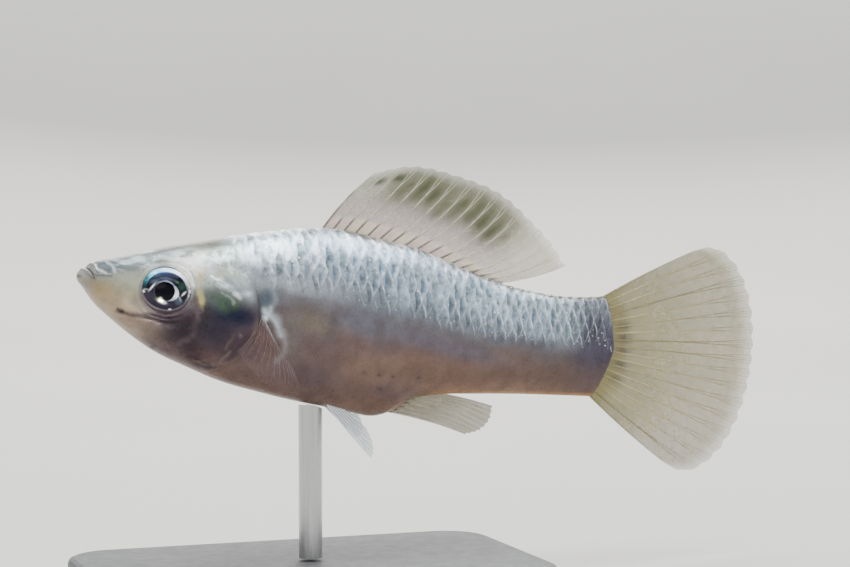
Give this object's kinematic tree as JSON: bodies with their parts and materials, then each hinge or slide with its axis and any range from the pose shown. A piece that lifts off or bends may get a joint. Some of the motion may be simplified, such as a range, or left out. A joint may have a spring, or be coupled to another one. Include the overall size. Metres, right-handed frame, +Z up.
{
  "type": "sailfin molly model",
  "caption": "Small live-bearing fish with a tall sail-like dorsal fin, fanned tail and upturned mouth, held in a swimming pose on a rod above a flat base.",
  "frame": {"origin": "centre of the underside of the display stand's base", "axes": "+X from head to tail along the fish's length, +Z up, the fish's left flank faces -Y"},
  "size_m": [0.0795, 0.028, 0.044],
  "materials": {
    "skin": "silvery scaled skin, satin",
    "jaw_skin": "smooth yellowish skin, satin",
    "eye": "glossy",
    "fin_membrane": "thin translucent membrane",
    "plinth": "satin black",
    "rod_steel": "satin"
  },
  "bodies": {
    "root": {"head": "skin", "lower_jaw": "jaw_skin", "trunk": "skin", "tail_stock": "skin", "eye_left": "eye", "eye_right": "eye", "dorsal_fin": "fin_membrane", "anal_fin": "fin_membrane", "caudal_fin": "fin_membrane", "pectoral_fin_left": "fin_membrane", "pectoral_fin_right": "fin_membrane", "pelvic_fin_left": "fin_membrane", "pelvic_fin_right": "fin_membrane", "stand_base": "plinth", "stand_rod": "rod_steel"}
  },
  "joints": []
}
